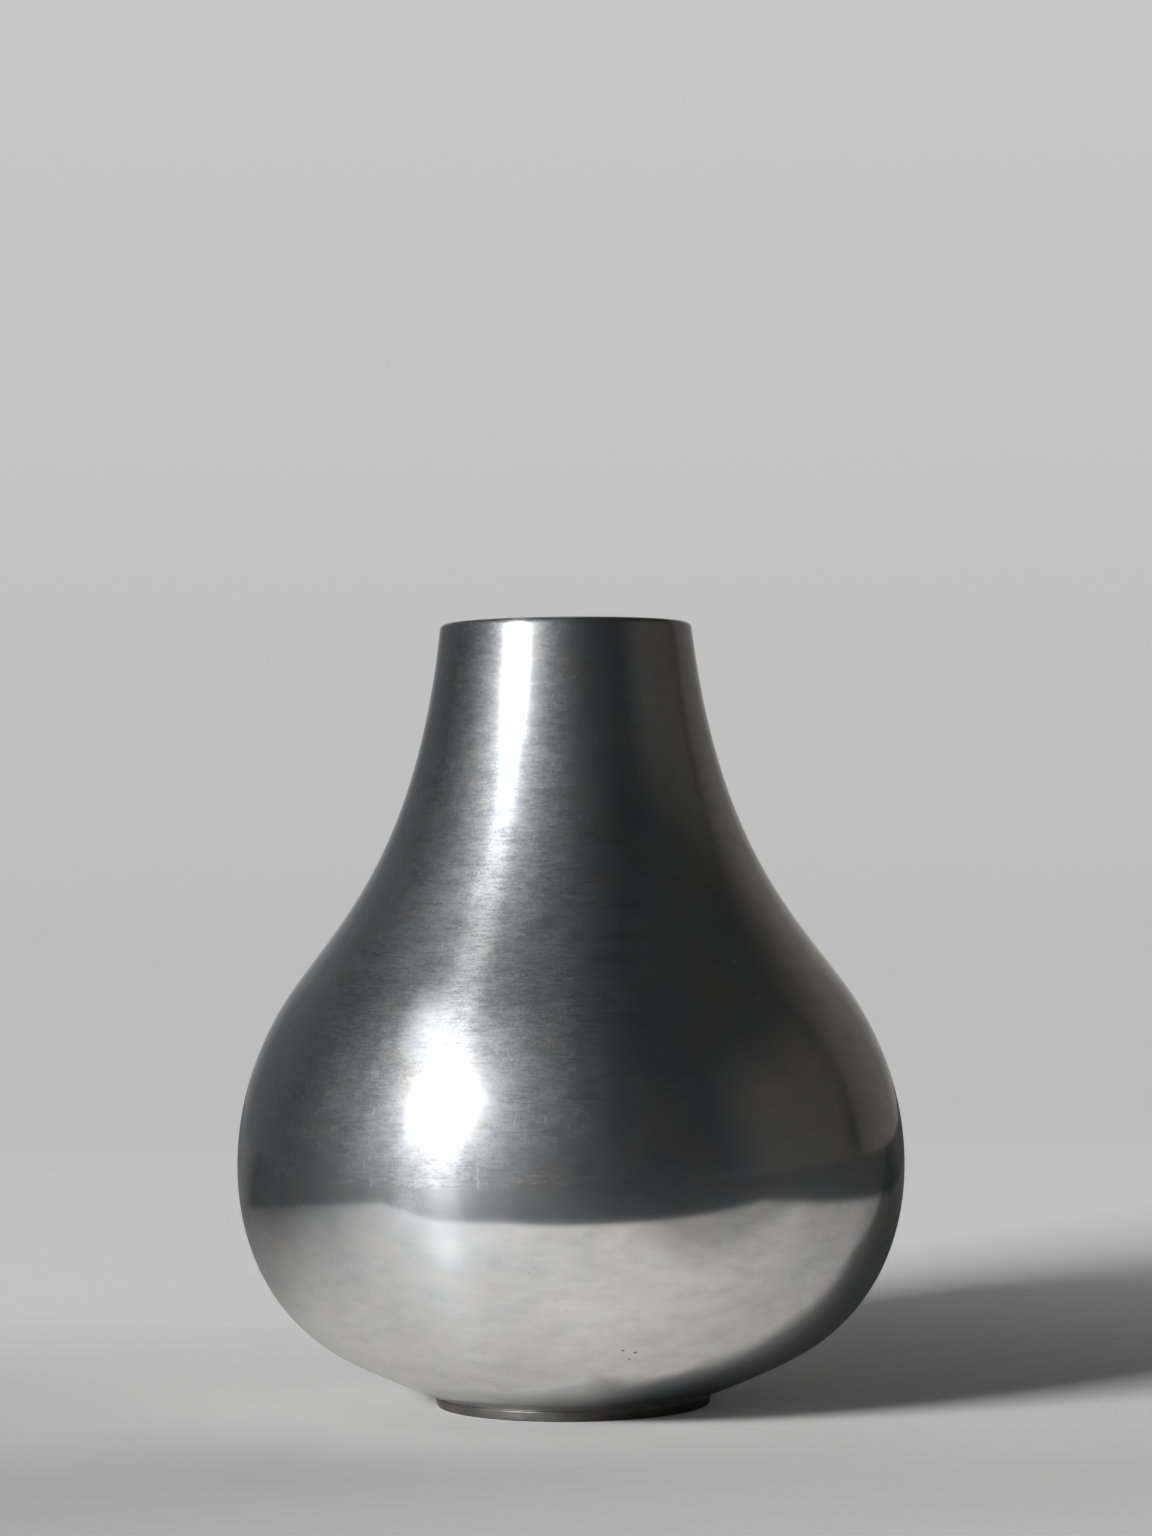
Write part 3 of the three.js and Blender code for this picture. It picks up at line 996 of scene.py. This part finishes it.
def lamp_place(azimuth, distance, height):
    """Middle of a lamp, with its azimuth taken from the camera to the left."""
    return Vector((-distance * math.sin(azimuth), -distance * math.cos(azimuth), height))


def floor_lamp_place(studio):
    """Middle of the lamp that lights the floor."""
    return lamp_place(studio.floor_lamp_azimuth, studio.floor_lamp_distance, studio.floor_lamp_height)


def light_on_white(tree, studio, place):
    """Level at which a white floor would show at a place, and how far its lamp is, 1 as at the foot."""
    lamp = floor_lamp_place(studio)
    ray = add_node(tree, "VectorMath", (place, lamp), operation="SUBTRACT")
    ahead = add_node(tree, "VectorMath", (ray, -lamp.normalized()), "Value", operation="DOT_PRODUCT")
    ahead = add_node(tree, "Math", (ahead, lamp.length), operation="DIVIDE")
    ahead = add_node(tree, "Math", (ahead, 0.0), operation="MAXIMUM")
    away = add_node(tree, "VectorMath", (ray,), "Value", operation="LENGTH")
    reach = add_node(tree, "Math", (away, lamp.length), operation="DIVIDE")
    fall = add_node(tree, "Math", (reach, LAMP_FALL), operation="POWER")
    lit = product(tree, ahead, fall, LIT)
    return add_node(tree, "Math", (lit, FILL), operation="ADD"), reach


def floor_material(studio):
    """Matt pale floor. Its colour deepens towards the lamp, so that it looks evenly lit.

    The camera sees it reach the horizon, with painted light and shade in its tone. Mirrored in the metal
    it ends as a card, with dark round it, its light and the vase's shadow painted in.
    """
    material, tree = new_material("pale_floor")
    place = add_node(tree, "TexCoord", output="Object")
    x, y, _ = add_node(tree, "SeparateXYZ", (place,)).node.outputs
    camera = add_node(tree, "LightPath", output="Is Camera Ray")
    white, reach = light_on_white(tree, studio, place)

    # Painted light on the floor that the camera sees, with painted shade and light in a strip beside the
    # vase.
    tone = summed_ramps(tree, y, FLOOR_RISES)
    sideways = multiplied_ramps(tree, (x, SIDEWAYS_PLACE), (y, SIDEWAYS_SHARE))
    strip = multiplied_ramps(tree, (y, STRIP_FRONT), (y, STRIP_BACK))
    strip = product(tree, strip, summed_ramps(tree, x, STRIP_RISES))
    tone = weighted(tree, ((tone, 1), (sideways, 1), (strip, 1)))
    aside = add_node(tree, "Math", (x,), operation="ABSOLUTE")
    outward = add_node(tree, "Math", (aside, product(tree, y, -1.0)), operation="MAXIMUM")
    outer = add_node(tree, "MapRange", (outward, *OUTER_BLEND))
    tone = add_node(tree, "Mix", {0: outer, 2: tone, 3: HORIZON_TONE})

    # Painted light: the mirrored card grows dimmer away from the lamp.
    fall = add_node(tree, "Math", (reach, CARD_FALL), operation="POWER")
    card = product(tree, card_tone(tree, studio, x, y), fall)
    mirrored = add_node(tree, "Math", (card, far_tone(tree, x, y)), operation="MAXIMUM")
    mirrored = product(tree, mirrored, painted_shadow_tone(tree, studio, place, x, y))

    level = add_node(tree, "Mix", {0: camera, 2: mirrored, 3: tone})
    level = add_node(tree, "Math", (level, white), operation="DIVIDE")
    tint = add_node(tree, "Mix", {0: camera, 6: MIRRORED_TINT, 7: WHITE}, **COLOURS)
    paint = add_node(tree, "VectorMath", {0: tint, "Scale": level}, operation="SCALE")
    matt = add_node(tree, "BsdfDiffuse", {"Color": paint})
    glow = add_node(tree, "Emission", {"Color": tone, "Strength": 1.0})
    back = add_node(tree, "MapRange", (y, *GLOW_BACK))
    sides = add_node(tree, "MapRange", (outward, *GLOW_OUTWARD))
    far = add_node(tree, "Math", (back, sides), operation="MAXIMUM")
    surface = add_node(tree, "MixShader", (product(tree, far, camera), matt, glow))
    add_node(tree, "OutputMaterial", {"Surface": surface})
    return material


def card_tone(tree, studio, x, y):
    """Tone of the floor as the metal mirrors it: a pale card with three places of painted shade, that fades
    out on its left.
    """
    reach = add_node(tree, "MapRange", (y, *CARD_REACH))
    inwards = add_node(tree, "Math", (x, reach), operation="ADD")
    width = add_node(tree, "Math", (reach, CARD_FULL), operation="SUBTRACT")
    inwards = add_node(tree, "Math", (inwards, width), operation="DIVIDE")
    # Held between 0 and 1 by a ramp without values, and squared.
    faded = multiplied_ramps(tree, (inwards, ()), (inwards, ()))

    side = add_node(tree, "Math", (x, summed_ramps(tree, y, (CARD_LEFT_LEAN,))), operation="SUBTRACT")
    ahead = add_node(tree, "Math", (y, summed_ramps(tree, x, CARD_BEND)), operation="SUBTRACT")
    front = (-studio.card_front - CARD_EDGE, -studio.card_front + CARD_EDGE)
    right = (studio.card_half_width + CARD_SIDE_EDGE, studio.card_half_width - CARD_SIDE_EDGE)
    tone = multiplied_ramps(tree, (y, CARD_NEAR), (side, CARD_LEFT_EDGE), (ahead, front), (x, right))
    tone = product(tree, tone, faded)
    # Three places of painted shade on the card.
    for across, along in CARD_DIMS:
        lost = multiplied_ramps(tree, (x, across), (y, along))
        tone = product(tree, tone, add_node(tree, "Math", (1.0, lost), operation="SUBTRACT"))
    return tone


def painted_shadow_tone(tree, studio, place, x, y):
    """Share that is left of the mirrored floor inside the vase's painted shadow and the painted shade round
    the foot, which the metal shows very dark.
    """
    sine, cosine = math.sin(studio.floor_lamp_azimuth), math.cos(studio.floor_lamp_azimuth)
    along = weighted(tree, ((x, sine), (y, cosine)))
    aside = weighted(tree, ((x, cosine), (y, -sine)))
    past = add_node(tree, "Math", (aside, summed_ramps(tree, along, SHADOW_WIDTHS)), operation="SUBTRACT")
    outside = add_node(tree, "MapRange", (past, *SHADOW_EDGE))
    left = add_node(tree, "MapRange", (x, *SHADOW_LEFT))
    clear = add_node(tree, "Math", (outside, left), operation="MAXIMUM")
    # Painted shade on the floor round the foot ring.
    end = add_node(tree, "MapRange", (x, *CONTACT_END))
    least = add_node(tree, "MapRange", (x, *CONTACT_LEAST))
    contact = (axis_distance(tree, place), (RING_HIGH.x, end, least, 1.0))
    return multiplied_ramps(tree, (clear, SHADOW_DEPTH), contact)


def turn_from_camera(tree, x, y):
    """Azimuth of a place in degrees: 0 towards the camera, and positive to its right."""
    turn = add_node(tree, "Math", (x, product(tree, y, -1.0)), operation="ARCTAN2")
    return add_node(tree, "Math", (turn,), operation="DEGREES")


def far_tone(tree, x, y):
    """Dim tone of the floor beyond the card, as the metal mirrors it: painted shade, lighter behind."""
    turn = turn_from_camera(tree, x, y)
    around = add_node(tree, "Math", (turn,), operation="ABSOLUTE")
    tone = add_node(tree, "MapRange", (turn, *FAR_RIGHT))
    for value, ramp in ((turn, FAR_LEFT), (around, FAR_BEHIND)):
        part = add_node(tree, "MapRange", (value, *ramp))
        tone = add_node(tree, "Math", (tone, part), operation="MAXIMUM")
    return tone


def room_material():
    """Dark room that only the metal mirrors, glowing with painted light though it is no lamp: black at the
    left, warm and dim at the right, pale behind.
    """
    material, tree = new_material("dark_room")
    place = add_node(tree, "TexCoord", output="Object")
    x, y, z = add_node(tree, "SeparateXYZ", (place,)).node.outputs
    turn = turn_from_camera(tree, x, y)
    around = add_node(tree, "Math", (turn,), operation="ABSOLUTE")

    aside = add_node(tree, "Math", (turn, GAP_AZIMUTH), operation="SUBTRACT")
    aside = add_node(tree, "Math", (aside,), operation="ABSOLUTE")
    least = add_node(tree, "MapRange", (z, *GAP_DEPTH))
    wall = multiplied_ramps(tree, (turn, ROOM_RIGHT), (aside, (*GAP_SIDE, least, 1.0)))
    wall = summed_ramps(tree, around, ROOM_BEHIND, wall)
    skirting = multiplied_ramps(tree, (z, SKIRTING_TOP), (turn, SKIRTING_RIGHT))
    wall = add_node(tree, "Math", (wall, skirting), operation="MAXIMUM")
    wall = product(tree, wall, add_node(tree, "MapRange", (z, *ROOM_TOP)))

    share = add_node(tree, "MapRange", (turn, *ROOM_TURN))
    tint = add_node(tree, "Mix", {0: share, 6: ROOM_COOL, 7: ROOM_WARM}, **COLOURS)
    light = add_node(tree, "Emission", {"Color": tint, "Strength": wall})
    add_node(tree, "OutputMaterial", {"Surface": light})
    return material


def add_lamp(name, place, facing, width, tall, radiance):
    """A rectangular softbox that the camera doesn't see, with the brightness of its face."""
    deselect()
    bpy.ops.object.light_add(type="AREA", location=place)
    lamp = bpy.context.object
    lamp.name = name
    lamp.rotation_euler = (-facing).to_track_quat("Z", "Y").to_euler()
    lamp.data.shape = "RECTANGLE"
    lamp.data.size = width
    lamp.data.size_y = tall
    lamp.data.energy = radiance * math.pi * width * tall
    lamp.visible_camera = False
    return lamp


def add_lamps(studio):
    """The key lamp, which the metal mirrors, and the lamp that lights the floor and gives the shadow."""
    place = lamp_place(studio.key_azimuth, studio.key_distance, studio.key_height)
    level = Vector((-place.x, -place.y, 0))
    key = add_lamp("key_lamp", place, level, studio.key_width, studio.key_tall, studio.key_radiance)
    key.visible_diffuse = False
    place = floor_lamp_place(studio)
    width, tall = studio.floor_lamp_width, studio.floor_lamp_tall
    radiance = LIT * math.pi * place.length**3 / (width * tall * place.z)
    lamp = add_lamp("floor_lamp", place, -place, width, tall, radiance)
    lit = bpy.data.collections.new("lit_by_floor_lamp")
    for name in ("floor", "turned_foot_ring"):
        lit.objects.link(bpy.data.objects[name])
    lamp.light_linking.receiver_collection = lit


def place_camera(studio):
    """Puts the camera where the picture was taken from."""
    deselect()
    bpy.ops.object.camera_add(location=(0, -studio.camera_distance, studio.camera_height))
    camera = bpy.context.object
    turn = (
        Matrix.Rotation(studio.camera_yaw, 4, "Z")
        @ Matrix.Rotation(UPRIGHT + studio.camera_pitch, 4, "X")
        @ Matrix.Rotation(studio.camera_roll, 4, "Z")
    )
    camera.rotation_euler = turn.to_euler()
    camera.data.lens = studio.lens_mm
    camera.data.sensor_width = SENSOR_MM
    camera.data.clip_start, camera.data.clip_end = CAMERA_CLIP
    bpy.context.scene.camera = camera


def pale_world():
    """A pale background, a little brighter upwards, and a low band that gives a weak fill."""
    world = bpy.data.worlds.new("pale_background")
    world.use_nodes = True
    tree = world.node_tree
    tree.nodes.clear()
    seen = 0.0
    for kind in ("Is Camera Ray", "Is Glossy Ray", "Is Transmission Ray"):
        ray = add_node(tree, "LightPath", output=kind)
        seen = add_node(tree, "Math", (seen, ray), operation="MAXIMUM")
    direction = add_node(tree, "TexCoord", output="Generated")
    height = add_node(tree, "SeparateXYZ", (direction,), "Z")
    pale = add_node(tree, "MapRange", (height, *SKY_HEIGHTS, HORIZON_TONE, SKY_TONE))
    # What a band that fades out at FILL_TOP gives a level floor, for a brightness of 1 at the horizon.
    band = 2 * FILL_TOP**2 * (1 / 2 - 1 / 3)
    fill = add_node(tree, "MapRange", (height, 0.0, FILL_TOP, FILL / band, 0.0))
    level = add_node(tree, "Mix", {0: seen, 2: fill, 3: pale})
    light = add_node(tree, "Background", {"Color": WHITE, "Strength": level})
    add_node(tree, "OutputWorld", {"Surface": light})
    return world


class VASE_OT_studio(bpy.types.Operator):
    """Sets up the floor, the dark room, the lamps, the camera and the background"""

    bl_idname = "vase.studio"
    bl_label = "Studio"

    def execute(self, context):
        studio = context.scene.vase_studio
        deselect()
        bpy.ops.mesh.primitive_plane_add(size=2 * studio.floor_reach, location=(0, 0, 0))
        floor = context.object
        floor.name = "floor"
        floor.data.materials.append(floor_material(studio))
        deselect()
        bpy.ops.mesh.primitive_cylinder_add(
            vertices=ROOM_SIDES, radius=ROOM_RADIUS, depth=ROOM_HEIGHT, location=(0, 0, 0)
        )
        room = context.object
        room.name = "dark_room"
        room.data.materials.append(room_material())
        room.visible_camera = False
        room.visible_diffuse = False
        room.visible_shadow = False
        add_lamps(studio)
        place_camera(studio)
        context.scene.world = pale_world()
        context.scene.view_settings.view_transform = "Standard"
        return {"FINISHED"}


class VASE_PT_panel(bpy.types.Panel):
    """Lists the pieces of the vase"""

    bl_idname = "VASE_PT_panel"
    bl_label = "Spun Vase"
    bl_space_type = "VIEW_3D"
    bl_region_type = "UI"
    bl_category = "Vase"

    def draw(self, context):
        for operator in PIECES:
            self.layout.operator(operator.bl_idname)
        for group in (context.scene.vase_sizes, context.scene.vase_finish, context.scene.vase_studio):
            box = self.layout.box()
            for name in group.__annotations__:
                box.prop(group, name)


GROUPS = {"vase_sizes": VaseSizes, "vase_finish": VaseFinish, "vase_studio": VaseStudio}
PIECES = (
    VASE_OT_upper_shell,
    VASE_OT_lip_wire,
    VASE_OT_lower_bowl,
    VASE_OT_seam_filler,
    VASE_OT_foot_ring,
    VASE_OT_foot_filler,
    VASE_OT_studio,
)


def register():
    for name, group in GROUPS.items():
        bpy.utils.register_class(group)
        setattr(bpy.types.Scene, name, bpy.props.PointerProperty(type=group))
    for kind in (*PIECES, VASE_PT_panel):
        bpy.utils.register_class(kind)


def unregister():
    for kind in reversed((*PIECES, VASE_PT_panel)):
        bpy.utils.unregister_class(kind)
    for name, group in GROUPS.items():
        delattr(bpy.types.Scene, name)
        bpy.utils.unregister_class(group)


def main():
    """Makes every piece and the studio."""
    register()
    bpy.ops.vase.upper_shell()
    bpy.ops.vase.lip_wire()
    bpy.ops.vase.lower_bowl()
    bpy.ops.vase.seam_filler()
    bpy.ops.vase.foot_ring()
    bpy.ops.vase.foot_filler()
    bpy.ops.vase.studio()


if __name__ == "__main__":
    main()
